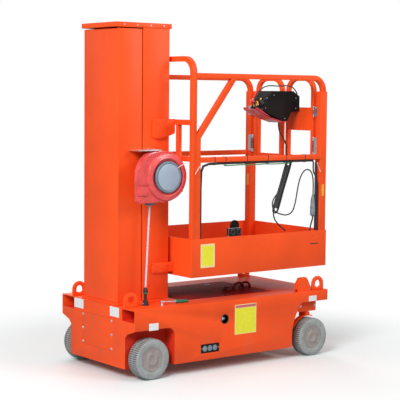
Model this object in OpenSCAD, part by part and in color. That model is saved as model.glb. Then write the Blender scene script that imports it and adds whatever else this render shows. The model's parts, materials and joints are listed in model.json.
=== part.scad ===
// Self-propelled vertical mast lift, in millimetres.
// X runs from the mast end to the gate end, Y to the left seen from the mast, Z up from the floor.
// Lengths along X are measured from the rear face of the chassis, and from_rear() centres them.

/* [Chassis] */
// Length of the chassis
chassis_l = 1436; // [1400:1:1500]
// Width of the chassis, over the tyres
chassis_w = 760; // [740:1:800]
// Height of the deck
deck_z = 400; // [390:1:420]
// Height of the lower edge of the side skirts
skirt_z = 70; // [60:1:90]
// Height of the lower face of the rear core, between the rear wheels
core_z = 57; // [50:1:70]
// Gap between the rear core and a rear tyre
core_gap = 16; // [12:1:24]
// Height of the nose over the front wheels
nose_h = 65; // [55:1:70]
// Plate thickness of the chassis
plate_t = 6; // [4:1:8]
// Length from the rear axle to the front edge of the rear wheel arch
rear_arch_l = 153; // [145:1:165]
// Gap between a rear tyre and the ceiling of its arch
rear_arch_gap = 53; // [40:1:60]
// Corner radius of the rear wheel arch
rear_arch_r = 50; // [30:1:60]
// Length from the rear edge of the front wheel arch to the front axle
front_arch_l = 169; // [165:1:180]
// Height at which the front wheel arch starts to lean forward
front_arch_z = 130; // [110:1:150]
// Radius of the front wheel arch's leaning edge
front_arch_r = 306; // [290:1:330]
// Length of the fork pockets
pocket_l = 900; // [700:10:1000]
// Width of a fork pocket
pocket_w = 124; // [110:1:130]
// Height of a fork pocket
pocket_h = 66; // [50:1:70]
// Length of the deck's hatch
hatch_l = 670; // [600:5:700]
// Half width of the deck's hatch
hatch_half_w = 240; // [220:5:250]
// Radius of the round hole in each skirt
skirt_hole_r = 28; // [20:1:32]

/* [Wheels] */
// Distance of the rear axle from the rear face
rear_axle_x = 122; // [118:1:130]
// Distance of the front axle from the front face of the chassis
front_axle_in = 117; // [116:1:125]
// Diameter of a tyre
tyre_d = 230; // [220:1:232]
// Width of a tyre
tyre_w = 80; // [70:1:82]
// Radius of the wheel disc inside the tyre
hub_r = 68; // [60:1:75]
// Radius of the axle stubs
axle_r = 15; // [12:1:18]
// Distance of the kingpin from the inner face of its tyre
kingpin_in = 22; // [20:1:28]
// Radius of the kingpin
kingpin_r = 12; // [10:1:14]
// Length of the steering arms
steer_arm_l = 80; // [76:1:90]
// Radius of the tie rod
tie_rod_r = 8; // [6:1:9]

/* [Mast] */
// Distance of the mast's rear face from the rear face of the chassis
mast_x = 21; // [15:1:30]
// Depth of the closed mast
mast_d = 350; // [340:1:356]
// Width of the mast
mast_w = 352; // [340:1:356]
// Height of the top of the cap
mast_top_z = 1983; // [1960:1:2000]
// Height of the cap
cap_h = 28; // [20:1:34]
// Wall thickness of the mast sections
mast_t = 6; // [4:1:8]
// Depth of the fixed rear channel
base_channel_d = 162; // [150:1:164]
// Gap between mast sections that slide past each other
stage_gap = 6; // [5:1:8]
// Wall thickness of the inner stages
stage_t = 5; // [4:1:6]
// Gap at the sides of the inner stages
stage_side_gap = 11; // [8:1:16]
// Thickness of the foot plate under the mast
foot_t = 12; // [8:1:16]
// Running clearance at slide pads and stops
run_gap = 0.3; // [0.2:0.1:0.6]

/* [Platform] */
// Distance of the tub's rear face from the rear face of the chassis
tub_x = 397; // [394:1:402]
// Length of the tub
tub_l = 1033; // [1000:1:1036]
// Width of the tub
tub_w = 728; // [700:1:740]
// Height of the tub's lower edge
tub_z = 547; // [540:1:560]
// Height of the top of the toe boards
toe_z = 767; // [755:1:780]
// Height of the floor
floor_z = 600; // [595:1:610]
// Sheet thickness of the tub
tub_t = 4; // [3:1:5]
// Outside size of the square guardrail tube
rail_s = 30; // [28:1:32]
// Outside size of the square front posts
post_s = 50; // [46:1:52]
// Height of the top of the side rails
rail_z = 1706; // [1690:1:1720]
// Height of the top of the middle rails
mid_rail_z = 1230; // [1215:1:1245]
// Height of the top of the rear hoop
hoop_z = 1801; // [1780:1:1820]
// Inside radius of the tube bends
bend_r = 65; // [55:1:75]

/* [Gates] */
// Outside size of the square gate tube
gate_s = 25; // [22:1:28]
// Height of the lower edge of the gate leaves
gate_low_z = 1190; // [1185:1:1195]
// Height of the top of the gate leaves
gate_top_z = 1700; // [1690:1:1705]
// Gap between a front post and its gate leaf
gate_post_gap = 35; // [32:1:40]
// Gap between the middle plane and a leaf's free leg
gate_mid_gap = 18; // [12:1:22]
// Distance of the hinge axis from the gate leaf's outer face
hinge_out = 18; // [16:1:20]
// Radius of the hinge barrels
hinge_r = 8; // [7:1:8]

/* [Control box] */
// Width of the control box
box_w = 120; // [100:1:130]
// Distance of the control box's outer side from the middle plane
box_y = 150; // [140:1:155]
// Height of the control box's lowest edge
box_low_z = 1427; // [1420:1:1440]

/* [Cable reel] */
// Radius of the reel housing
reel_r = 148; // [140:1:150]
// Distance of the reel's axis from the rear face
reel_x = 250; // [245:1:255]
// Height of the reel's axis
reel_z = 1128; // [1110:1:1150]
// Distance of the reel's inner face from the middle plane
reel_y = 204; // [200:1:210]
// Thickness of the reel housing
reel_t = 112; // [100:1:116]
// Radius of the reel's cable
reel_cable_r = 6; // [5:0.5:8]
// Distance from the reel's mouth back to the reel's axis
reel_mouth_back = 65; // [60:1:80]
// Distance of the cable's fitting on the deck from the rear face
fitting_x = 160; // [140:1:160]

/* [Hidden] */
$fn = 48;
orange = [0.93, 0.27, 0.08];
dark = [0.08, 0.08, 0.09];
grey = [0.62, 0.60, 0.58];
steel = [0.72, 0.73, 0.75];
pink = [0.85, 0.30, 0.32];
maroon = [0.40, 0.08, 0.07];

front_axle_x = chassis_l - front_axle_in;
tyre_r = tyre_d / 2;
axle_z = tyre_r;
tyre_in_y = chassis_w / 2 - tyre_w;
kingpin_y = tyre_in_y - kingpin_in;
core_half_w = tyre_in_y - core_gap;
side_in_y = chassis_w / 2 - plate_t;
nose_z = deck_z - nose_h;
deck_low = deck_z - plate_t;
rear_arch_x = rear_axle_x + rear_arch_l;
rear_arch_z = tyre_d + rear_arch_gap;
front_arch_x = front_axle_x - front_arch_l;
pocket_y = side_in_y - pocket_w;
pocket_z = deck_low - pocket_h;

foot_top = deck_z + foot_t;
stage_low = foot_top + run_gap;
cap_low = mast_top_z - cap_h;
base_top = cap_low - stage_gap;
mast_front = mast_x + mast_d;
seam_x = mast_x + base_channel_d;
stages_x0 = mast_x + mast_t + stage_gap;
stages_x1 = mast_front - mast_t - stage_gap;
stage_d = (stages_x1 - stages_x0 - 2 * stage_gap) / 3;
stage_half_w = mast_w / 2 - mast_t - stage_side_gap;
function stage_x(i) = stages_x0 + i * (stage_d + stage_gap);

tub_front = tub_x + tub_l;
tub_in_y = tub_w / 2 - tub_t;
rear_post_x = tub_x + tub_t;
brace_x = rear_post_x + rail_s;
front_post_x = tub_front - tub_t - post_s;
rail_y = tub_in_y - rail_s;

gate_x = front_post_x + (post_s - gate_s) / 2 + 2;
gate_half_w = tub_in_y - post_s - gate_post_gap;
gate_leg_y = gate_half_w - gate_s;
hinge_x = gate_x - 11;
hinge_y = gate_half_w + hinge_out;
arm_y = mast_w / 2;
arm_t = 18;
arm_x0 = 251;

module from_rear() translate([-chassis_l / 2, 0, 0]) children();
module both_sides() {
    children();
    mirror([0, 1, 0]) children();
}
// A solid between two corners
module block(a, b) translate(a) cube(b - a);
// An outline in X and Z, given its thickness from y0 to y1
module side_plate(y0, y1) translate([0, y1, 0]) rotate([90, 0, 0]) linear_extrude(y1 - y0) children();
// A cylinder along Y
module y_cylinder(x, z, y0, y1, r) translate([x, y1, z]) rotate([90, 0, 0]) cylinder(h = y1 - y0, r = r);
function arc(cx, cy, r, a0, a1, n = 10) =
    [for (i = [0:n]) let (a = a0 + (a1 - a0) * i / n) [cx + r * cos(a), cy + r * sin(a)]];

// Cords: rings of a round tube along a list of points
function unit(v) = v / norm(v);
function along(p, i) = unit(p[min(i + 1, len(p) - 1)] - p[max(i - 1, 0)]);
function across(t) = unit(abs(t[1]) < 0.9 ? cross(t, [0, 1, 0]) : cross(t, [1, 0, 0]));
function ring(c, t, r, n) = let (u = across(t), v = cross(t, u))
    [for (k = [0:n - 1]) c + r * (cos(360 * k / n) * u + sin(360 * k / n) * v)];
module cord(p, r, n = 8) {
    last = len(p) - 1;
    points = [for (i = [0:last]) each ring(p[i], along(p, i), r, n)];
    sides = [for (i = [0:last - 1], k = [0:n - 1])
        [i * n + k, (i + 1) * n + k, (i + 1) * n + (k + 1) % n, i * n + (k + 1) % n]];
    ends = [[for (k = [0:n - 1]) k], [for (k = [n - 1:-1:0]) last * n + k]];
    polyhedron(points, concat(ends, sides));
}

// Side view of the chassis, drawn in by t
function side_profile(t) = let (
        lean_r = front_arch_r + t,
        lean_end = asin((nose_z + t - front_arch_z) / lean_r))
    concat(
        [[t, deck_z - t], [t, rear_arch_z + t]],
        arc(rear_arch_x - rear_arch_r, rear_arch_z - rear_arch_r, rear_arch_r + t, 90, 0, 8),
        [[rear_arch_x + t, skirt_z + t], [front_arch_x - t, skirt_z + t]],
        arc(front_arch_x + front_arch_r, front_arch_z, lean_r, 180, 180 - lean_end, 10),
        [[chassis_l - t, nose_z + t], [chassis_l - t, deck_z - t]]);

// The deck's hatch ends this far behind the front face of the chassis
hatch_x1 = chassis_l - 336;
hatch_x0 = hatch_x1 - hatch_l;
hatch_ledge = 14;
ledge_out_y = pocket_y - plate_t - run_gap;
socket_box = [458, 590, 110, 162];
skirt_hole = [631, 293];
panel_half_w = 162;
panel_low = 138;
panel_top = 325;
panel_t = 3;

// A solid ring as thick as the plates, which follows the side profile, and the core behind it
module chassis_shell() color(orange) difference() {
    union() {
        side_plate(-side_in_y, side_in_y) difference() {
            polygon(side_profile(0));
            polygon(side_profile(plate_t));
        }
        rear_core();
        rear_corner_gussets();
    }
    block([plate_t, plate_t - core_half_w, core_z + plate_t],
        [rear_arch_x + 2 * plate_t, core_half_w - plate_t, rear_arch_z + 2 * plate_t]);
    block([-1, -chassis_w, deck_low], [chassis_l + 1, chassis_w, deck_z + 1]);
    both_sides() block([-1, pocket_y, pocket_z], [2 * plate_t, chassis_w, deck_z]);
    block([-1, -panel_half_w, panel_low], [panel_t, panel_half_w, panel_top]);
}
module rear_core() difference() {
    block([0, -core_half_w, core_z], [rear_arch_x + plate_t, core_half_w, rear_arch_z + plate_t]);
    block([plate_t, plate_t - core_half_w, core_z + plate_t],
        [rear_arch_x, core_half_w - plate_t, rear_arch_z + 2 * plate_t]);
}
module rear_corner_gussets() both_sides() translate([plate_t, 0, 0]) rotate([0, -90, 0])
    linear_extrude(plate_t) translate([rear_arch_z, 0]) polygon([[1, core_half_w - 1], [1, side_in_y],
        [-2, side_in_y], [-26, core_half_w + 22], [-48, core_half_w - 1]]);
module chassis_sides() color(orange) difference() {
    both_sides() side_plate(side_in_y, chassis_w / 2) polygon(side_profile(0));
    y_cylinder(skirt_hole[0], skirt_hole[1], -chassis_w, chassis_w, skirt_hole_r);
    block([socket_box[0], -chassis_w, socket_box[2]], [socket_box[1], 0, socket_box[3]]);
}
module chassis_deck() color(orange) difference() {
    union() {
        block([0, -side_in_y, deck_low], [chassis_l, side_in_y, deck_z]);
        block([hatch_x0 - hatch_ledge, -ledge_out_y, deck_low - plate_t],
            [hatch_x1 + hatch_ledge, ledge_out_y, deck_low]);
    }
    block([hatch_x0, -hatch_half_w, deck_low], [hatch_x1, hatch_half_w, deck_z + 1]);
    block([hatch_x0 + hatch_ledge, hatch_ledge - hatch_half_w, deck_low - plate_t - 1],
        [hatch_x1 - hatch_ledge, hatch_half_w - hatch_ledge, deck_z]);
    deck_slots();
}
// Drain slots in the deck beside the mast, each a start in X and a length
module deck_slots() for (s = [[66, 34], [168, 46]]) both_sides()
    block([s[0], side_in_y - 74, deck_low - 1], [s[0] + s[1], side_in_y - 60, deck_z + 1]);
// Floor, roof, inner wall and end wall of each fork pocket, under the deck
pocket_roof_t = 3;
module fork_pockets() color(orange) both_sides() difference() {
    block([plate_t, pocket_y - plate_t, pocket_z - plate_t], [pocket_l + plate_t, side_in_y, deck_low]);
    block([0, pocket_y, pocket_z], [pocket_l, side_in_y + 1, deck_low - pocket_roof_t]);
}

module deck_cover() color(maroon)
    block([hatch_x0 + 0.5, 0.5 - hatch_half_w, deck_low], [hatch_x1 - 0.5, hatch_half_w - 0.5, deck_z - 1]);

module rear_access_panel() color(orange)
    block([0, 1 - panel_half_w, panel_low + 1], [panel_t, panel_half_w - 1, panel_top - 1]);

// Lifting eyes: x of the middle, distance from the middle plane
eye_w = 92;
eye_h = 84;
eye_t = 12;
eye_places = [[eye_w / 2 + 1, core_half_w - 16], [chassis_l - 66, side_in_y - 18]];
module eye() translate([0, eye_t / 2, 0]) rotate([90, 0, 0]) linear_extrude(eye_t) difference() {
    polygon(concat([[-eye_w / 2, 0]], arc(0, eye_h - eye_w / 2, eye_w / 2, 180, 0, 16), [[eye_w / 2, 0]]));
    translate([0, eye_h - eye_w / 2]) circle(r = 22);
    translate([-22, 24]) square([44, eye_h - eye_w / 2 - 24]);
}
module lifting_eyes() color(orange) for (p = eye_places) both_sides() translate([p[0], p[1], deck_z]) eye();

module socket_panel() color(dark) {
    y = -chassis_w / 2;
    mid_z = (socket_box[2] + socket_box[3]) / 2;
    difference() {
        block([socket_box[0] + 0.5, y, socket_box[2] + 0.5],
            [socket_box[1] - 0.5, y + plate_t, socket_box[3] - 0.5]);
        for (k = [0:2]) y_cylinder(socket_box[0] + 28 + 36 * k, mid_z, y - 1, y + 3, 13);
    }
}

module battery_pack() color(dark) for (k = [0, 1])
    block([330 + 200 * k, -210, skirt_z + plate_t], [510 + 200 * k, 130, skirt_z + plate_t + 220]);
module ballast_block() color(dark) block([760, -230, skirt_z + plate_t], [1090, 230, skirt_z + plate_t + 110]);

lever_y = 306;
module pump_lever() color(steel) {
    block([224, -lever_y - 10, deck_z], [240, -lever_y + 10, deck_z + 26]);
    translate([232, -lever_y, deck_z + 20]) rotate([0, 90, 4]) {
        cylinder(h = 116, r = 5);
        translate([0, 0, 110]) cylinder(h = 94, r1 = 11, r2 = 7);
    }
}

// Hose loops and a valve dome on the deck cover, and a sensor block at the front edge
module deck_fittings() color(maroon) {
    for (x = [hatch_x1 - 110, hatch_x1 - 58]) translate([x, -60, deck_z - 1]) difference() {
        translate([0, 6, 0]) rotate([90, 0, 0]) cylinder(h = 12, r = 44);
        translate([0, 7, 0]) rotate([90, 0, 0]) cylinder(h = 14, r = 30);
        block([-50, -10, -50], [50, 10, 0]);
    }
    translate([hatch_x1 - 200, -60, deck_z - 1]) cylinder(h = 24, r = 30);
    translate([chassis_l - 236, 0, deck_z]) side_plate(4 - side_in_y, 44 - side_in_y)
        polygon([[0, 0], [0, 46], [26, 84], [78, 84], [92, 66], [112, 20], [112, 0]]);
}

sleeve_r = 28;
sleeve_low = 268;
sleeve_top = 322;
module steer_carrier() color(orange) difference() {
    union() {
        block([front_axle_x - 40, -kingpin_y + 21, 272], [front_axle_x + 40, kingpin_y - 21, nose_z]);
        both_sides() {
            translate([front_axle_x, kingpin_y, sleeve_low]) cylinder(h = sleeve_top - sleeve_low, r = sleeve_r);
            block([front_axle_x - 24, kingpin_y - 30, 276], [front_axle_x + 24, kingpin_y + 42, 316]);
            block([front_axle_x - 70, kingpin_y + 40, 266], [front_axle_x + 70, kingpin_y + 48, nose_z]);
        }
    }
    both_sides() translate([front_axle_x, kingpin_y, sleeve_low - 1])
        cylinder(h = 200, r = kingpin_r + 0.05);
    both_sides() translate([front_axle_x, kingpin_y, sleeve_top]) cylinder(h = 200, r = 25);
}

// One front knuckle, on the left
module knuckle() color(orange) translate([front_axle_x, kingpin_y, 0]) {
    translate([0, 0, sleeve_low - 9]) cylinder(h = 9 - run_gap, r = 26);
    translate([0, 0, sleeve_low - 9]) cylinder(h = sleeve_top + 7 - sleeve_low + 9, r = kingpin_r);
    translate([0, 0, sleeve_top + run_gap]) cylinder(h = 7, r = 20);
    block([-16, -12, axle_z - 20], [16, 4, sleeve_low - 5]);
    y_cylinder(0, axle_z, -12, 12, 22);
    y_cylinder(0, axle_z, -12, chassis_w / 2 - 30 - kingpin_y, axle_r);
    block([-steer_arm_l, -8, 172], [0, 8, 188]);
    translate([-steer_arm_l, 0, 172]) cylinder(h = 16, r = 11);
    translate([-steer_arm_l, 0, 172]) cylinder(h = 34, r = 6);
    block([-16, 0, axle_z + tyre_r + 12], [16, guard_y1, sleeve_low - 5]);
    tyre_guard();
}
// A curved plate over the tyre's rear shoulder
guard_y0 = 20;
guard_y1 = 52;
module tyre_guard() translate([0, 0, axle_z]) side_plate(guard_y0, guard_y1)
    polygon(concat(arc(0, 0, tyre_r + 9, 72, 150, 12), arc(0, 0, tyre_r + 15, 150, 72, 12)));
module knuckle_left() knuckle();
module knuckle_right() mirror([0, 1, 0]) knuckle();

tie_z = 189;
module tie_rod() color(steel) difference() {
    union() {
        translate([front_axle_x - steer_arm_l, kingpin_y, tie_z + 7]) rotate([90, 0, 0])
            cylinder(h = 2 * kingpin_y, r = tie_rod_r - 1);
        both_sides() translate([front_axle_x - steer_arm_l, kingpin_y, tie_z]) cylinder(h = 14, r = 12);
    }
    both_sides() translate([front_axle_x - steer_arm_l, kingpin_y, tie_z - 1]) cylinder(h = 16, r = 6.1);
}

module drive_stubs() color(steel) both_sides() {
    y_cylinder(rear_axle_x, axle_z, core_half_w, core_half_w + 6, 40);
    y_cylinder(rear_axle_x, axle_z, core_half_w, chassis_w / 2 - 30, axle_r);
}

// Tyre and hub about the Y axis, with the outer face at y = chassis_w / 2
tyre_round = 8;
tread_ribs = 3;
module tyre(x) color(grey) translate([x, 0, axle_z]) rotate([-90, 0, 0]) translate([0, 0, tyre_in_y])
    rotate_extrude($fn = 96) polygon(concat(
        [[hub_r, 2], [hub_r, tyre_w - 2], [hub_r + 3, tyre_w]],
        arc(tyre_r - tyre_round, tyre_w - tyre_round, tyre_round, 90, 0, 4),
        [for (k = [1:tread_ribs]) let (z = tyre_w * (1 - k / (tread_ribs + 1)))
            each [[tyre_r, z + 3], [tyre_r - 4, z + 2], [tyre_r - 4, z - 2], [tyre_r, z - 3]]],
        arc(tyre_r - tyre_round, tyre_round, tyre_round, 0, -90, 4),
        [[hub_r + 3, 0]]));
module hub(x) color(grey) translate([x, 0, axle_z]) rotate([-90, 0, 0]) translate([0, 0, tyre_in_y])
    rotate_extrude($fn = 96) polygon([[axle_r + 0.05, 4], [30, 4], [34, 14], [hub_r - 8, 14], [hub_r - 4, 4],
        [hub_r, 4], [hub_r, tyre_w - 4], [hub_r - 3, tyre_w - 2], [hub_r - 10, tyre_w - 4],
        [34, tyre_w - 6], [30, tyre_w - 3], [0, tyre_w - 3], [0, tyre_w - 29.5],
        [axle_r + 0.05, tyre_w - 29.5]]);
module tyre_rear_left() tyre(rear_axle_x);
module tyre_rear_right() mirror([0, 1, 0]) tyre(rear_axle_x);
module tyre_front_left() tyre(front_axle_x);
module tyre_front_right() mirror([0, 1, 0]) tyre(front_axle_x);
module hub_rear_left() hub(rear_axle_x);
module hub_rear_right() mirror([0, 1, 0]) hub(rear_axle_x);
module hub_front_left() hub(front_axle_x);
module hub_front_right() mirror([0, 1, 0]) hub(front_axle_x);

// A pair of slide pads on the face at x0, filling up to x1, at height z
pad_h = 90;
module pads(x0, x1, z) both_sides() block([x0, stage_half_w - 60, z], [x1, stage_half_w - 20, z + pad_h]);

module mast_foot() color(orange)
    block([mast_x - 9, -mast_w / 2 - 8, deck_z], [mast_front + 4, mast_w / 2 + 8, foot_top]);
module mast_base() color(orange) {
    difference() {
        block([mast_x, -mast_w / 2, foot_top], [seam_x, mast_w / 2, base_top]);
        block([mast_x + mast_t, mast_t - mast_w / 2, foot_top - 1],
            [seam_x + 1, mast_w / 2 - mast_t, base_top + 1]);
    }
    pads(mast_x + mast_t - 1, stage_x(0) - run_gap, base_top - pad_h - 4);
}
// An inner stage: a square column with pads behind at its foot and in front at its head
module stage(i) color(orange) {
    x = stage_x(i);
    difference() {
        block([x, -stage_half_w, stage_low], [x + stage_d, stage_half_w, base_top]);
        block([x + stage_t, stage_t - stage_half_w, stage_low - 1],
            [x + stage_d - stage_t, stage_half_w - stage_t, base_top + 1]);
    }
    pads(x - stage_gap + run_gap, x + 1, stage_low + 4);
    pads(x + stage_d - 1, x + stage_d + stage_gap - run_gap, base_top - pad_h - 4);
}
module mast_stage_1() stage(0);
module mast_stage_2() stage(1);
module mast_stage_3() stage(2);
module mast_top_stage() color(orange) {
    difference() {
        block([seam_x + stage_gap, -mast_w / 2, stage_low], [mast_front, mast_w / 2, cap_low]);
        block([seam_x, mast_t - mast_w / 2, stage_low - 1],
            [mast_front - mast_t, mast_w / 2 - mast_t, cap_low + 1]);
    }
    pads(mast_front - mast_t - stage_gap + run_gap, mast_front - mast_t + 1, stage_low + 4);
}
module mast_cap() color(orange) difference() {
    block([mast_x - 17, -mast_w / 2 - 2, cap_low], [mast_front + 14, mast_w / 2 + 2, mast_top_z]);
    block([mast_x - 11, 4 - mast_w / 2, cap_low - 1], [mast_front - 20, mast_w / 2 - 4, mast_top_z - 4]);
}

// Upper and lower arms that carry the platform on the top stage
module carriage_arms() color(orange) both_sides() {
    side_plate(arm_y, arm_y + arm_t) polygon([[arm_x0, 1346], [arm_x0, 1445], [rear_post_x, 1445],
        [rear_post_x, 1364], [372, 1352], [330, 1341], [290, 1333], [270, 1334], [256, 1340]]);
    block([arm_x0, arm_y, 567], [tub_x, arm_y + arm_t, 625]);
}

bearers = 3;
bearer_w = 40;
module toe_boards() color(orange) difference() {
    block([tub_x, -tub_w / 2, tub_z], [tub_front, tub_w / 2, toe_z]);
    block([tub_x + tub_t, -tub_in_y, tub_z - 1], [tub_front - tub_t, tub_in_y, toe_z + 1]);
}
module platform_floor() color(orange)
    block([tub_x + tub_t, -tub_in_y, floor_z - tub_t], [tub_front - tub_t, tub_in_y, floor_z]);
module floor_bearers() color(orange) for (k = [1:bearers])
    translate([tub_x + k * tub_l / (bearers + 1) - bearer_w / 2, 0, 0])
        block([0, -tub_in_y, tub_z + 6], [bearer_w, tub_in_y, floor_z - tub_t]);

// A quarter bend of square tube in the X-Z plane, turning from up to along +X
module bend(s) translate([bend_r + s, 0, 0]) rotate([-90, 0, 0]) mirror([0, 1, 0])
    rotate([0, 0, 90]) rotate_extrude(angle = 90) translate([bend_r, 0]) square([s, s]);
// Two posts joined by a bent top, in a plane across X, between y0 and y1 and from z0 to z1
module hoop(x, y0, y1, z0, z1, s) {
    bend_z = z1 - bend_r - s;
    block([x, y0, z0], [x + s, y0 + s, bend_z]);
    block([x, y1 - s, z0], [x + s, y1, bend_z]);
    translate([x + s, y0, bend_z]) rotate([0, 0, 90]) bend(s);
    translate([x, y1, bend_z]) rotate([0, 0, -90]) bend(s);
    block([x, y0 + bend_r + s, z1 - s], [x + s, y1 - bend_r - s, z1]);
}

guard_rail_z = 1442;
inner_post_s = 25;
inner_post_y = 197;
module rear_guard() color(orange) {
    hoop(rear_post_x, -tub_in_y, tub_in_y, floor_z, hoop_z, rail_s);
    for (z = [guard_rail_z, mid_rail_z + 6])
        block([rear_post_x, -rail_y - 1, z - rail_s], [rear_post_x + rail_s, rail_y + 1, z]);
    both_sides() block([rear_post_x + 2, inner_post_y, mid_rail_z], [rear_post_x + 2 + inner_post_s,
        inner_post_y + inner_post_s, guard_rail_z - 1]);
}

brace_top_x = 720;
brace_bend_z = 1344;
module guardrail() color(orange) {
    x1 = front_post_x + (post_s - rail_s) / 2;
    block([brace_x, rail_y, rail_z - rail_s], [x1 - bend_r, tub_in_y, rail_z]);
    translate([x1 + rail_s, rail_y, rail_z - bend_r - rail_s]) mirror([1, 0, 0]) bend(rail_s);
    block([brace_x + rail_s - 1, rail_y, mid_rail_z - rail_s], [front_post_x, tub_in_y, mid_rail_z]);
    side_plate(rail_y, tub_in_y) polygon([[brace_x, floor_z], [brace_x + rail_s, floor_z],
        [brace_x + rail_s, brace_bend_z - 6], [brace_top_x, rail_z - rail_s + 1],
        [brace_top_x - 38, rail_z - rail_s + 1], [brace_x, brace_bend_z + 6]]);
}
module guardrail_left() guardrail();
module guardrail_right() mirror([0, 1, 0]) guardrail();
module front_posts() color(orange) both_sides()
    block([front_post_x, tub_in_y - post_s, floor_z],
        [front_post_x + post_s, tub_in_y, rail_z - bend_r - rail_s]);

// Spring hinges: low end and length of each barrel
hinges = [[gate_low_z + 32, 108], [gate_low_z + 268, 60]];
hinge_knuckle = 20;
module gate_leaf() color(orange) {
    hoop(gate_x, gate_mid_gap, gate_half_w, gate_low_z, gate_top_z, gate_s);
    block([gate_x, gate_mid_gap + gate_s, gate_low_z], [gate_x + gate_s, gate_leg_y, gate_low_z + gate_s]);
    for (h = hinges) {
        difference() {
            union() {
                translate([hinge_x, hinge_y, h[0] + hinge_knuckle + run_gap])
                    cylinder(h = h[1] - 2 * hinge_knuckle - 2 * run_gap, r = hinge_r);
                block([gate_x - 4, gate_leg_y + 6, h[0] + hinge_knuckle + run_gap],
                    [gate_x, hinge_y, h[0] + h[1] - hinge_knuckle - run_gap]);
            }
            translate([hinge_x, hinge_y, h[0] - 1]) cylinder(h = h[1] + 2, r = 3.7);
        }
    }
}
plate_low = 1370;
plate_top = 1512;
module gate_leaf_left() gate_leaf();
module gate_leaf_right() mirror([0, 1, 0]) {
    gate_leaf();
    color(orange) block([gate_x - 3, gate_mid_gap + 4, plate_low], [gate_x, gate_leg_y + 4, plate_top]);
}
module gate_hinges_fixed() color(steel) both_sides() for (h = hinges) {
    for (z = [h[0], h[0] + h[1] - hinge_knuckle])
        translate([hinge_x, hinge_y, z]) cylinder(h = hinge_knuckle, r = hinge_r);
    translate([hinge_x, hinge_y, h[0]]) cylinder(h = h[1], r = 3.5);
    block([front_post_x - 3, hinge_y + hinge_r + 1, h[0]], [front_post_x, rail_y - 2, h[0] + h[1]]);
    for (z = [h[0], h[0] + h[1] - hinge_knuckle])
        block([front_post_x - 3, hinge_y, z], [hinge_x + 4, hinge_y + hinge_r + 2, z + hinge_knuckle]);
}

// Side view of the control box, from its rear plate and its lowest edge
box_back = gate_x - 3;
face_low = [-301.5, 68];
face_top = [-254.5, 147];
face_tilt = atan2(face_top[1] - face_low[1], face_top[0] - face_low[0]);
box_outline = [face_low, face_top, [-223.5, 184], [-52.5, 184], [0, 153], [0, 62], [-67.5, 55],
    [-97.5, 0], [-138.5, 0]];
module at_box() translate([box_back, 0, box_low_z]) children();
// A place on the sloping panel, at a distance y from the middle plane
module on_face(y) at_box() translate([(face_low[0] + face_top[0]) / 2, -y, (face_low[1] + face_top[1]) / 2])
    rotate([0, -face_tilt, 0]) translate([0, 0, 0.1]) children();
module control_box() color(dark) at_box() side_plate(-box_y, box_w - box_y) polygon(box_outline);
module emergency_stop() color("red") on_face(box_y - box_w + 32) {
    cylinder(h = 12, r = 20);
    cylinder(h = 26, r = 12);
    translate([0, 0, 22]) cylinder(h = 12, r = 18);
}
module joystick() color(dark) on_face(box_y - 32) {
    cylinder(h = 14, r = 18);
    cylinder(h = 52, r = 7);
    translate([0, 0, 44]) sphere(r = 13);
}
// A scoop under the box's front and a wire hoop round its panel
module box_guard() color(pink) at_box() {
    side_plate(-box_y, box_w - box_y) polygon([[-138.5, -1], [-217.5, 20], [-301.5, 53], [-347.5, 75],
        [-351.5, 69], [-303.5, 45], [-219.5, 12], [-147.5, -9], [-97.5, -9], [-97.5, -1]]);
    translate([0, 4 - box_y, 0]) cord([for (p = [[-16.5, 167.2], [-42.5, 198], [-77.5, 214], [-177.5, 214],
        [-267.5, 212], [-312.5, 191], [-347.5, 161], [-357.5, 118], [-348.5, 72]]) [p[0], 0, p[1]]], 3.5);
}

lead_r = 4.5;
lead_x = gate_x - lead_r - run_gap;
module box_lead() color(dark) cord([[1270, -90, box_low_z - 9.8], [1272, -88, 1395], [1290, -78, 1360], [1330, -58, 1330],
    [1362, -40, 1305], [lead_x, -32, 1275], [lead_x, -31, 1240], [lead_x, -36, 1215], [lead_x, -60, 1203],
    [lead_x, -120, 1200], [lead_x, -200, 1200], [lead_x, -255, 1200], [lead_x, -276, 1198],
    [hinge_x, -288, 1190], [hinge_x, -hinge_y, 1176], [hinge_x, -hinge_y, 1160]], lead_r);
post_lead_x = front_post_x - lead_r - run_gap;
harness_r = 7;
harness_y = -(rail_y + 14);
harness_z = mid_rail_z - rail_s - harness_r - run_gap;
// Leads that are held all the way: harness under the middle rail, and the leads down the post
module rail_harness() color(dark) {
    cord([[1325, harness_y, harness_z], [1200, harness_y, harness_z], [1000, harness_y, harness_z],
        [800, harness_y, harness_z], [620, harness_y, harness_z], [530, harness_y, harness_z - 2],
        [490, harness_y, harness_z - 14], [476, harness_y, harness_z - 45], [472, harness_y, 1050],
        [472, harness_y, 900], [472, harness_y, 750], [472, harness_y, floor_z + run_gap]], harness_r);
    cord([[hinge_x, -hinge_y, 1159.7], [hinge_x, -hinge_y, 1145], [1371, -305, 1120],
        [post_lead_x, -328, 1090], [post_lead_x, -345, 1050], [post_lead_x, -347, 980],
        [post_lead_x, -347, floor_z + run_gap]], lead_r);
    cord([[1355, cable_y, 849.7], [1352, cable_y, 830], [1340, cable_y, 800], [1334, cable_y, 770],
        [1333, cable_y, floor_z + run_gap]], lead_r);
}
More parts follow.
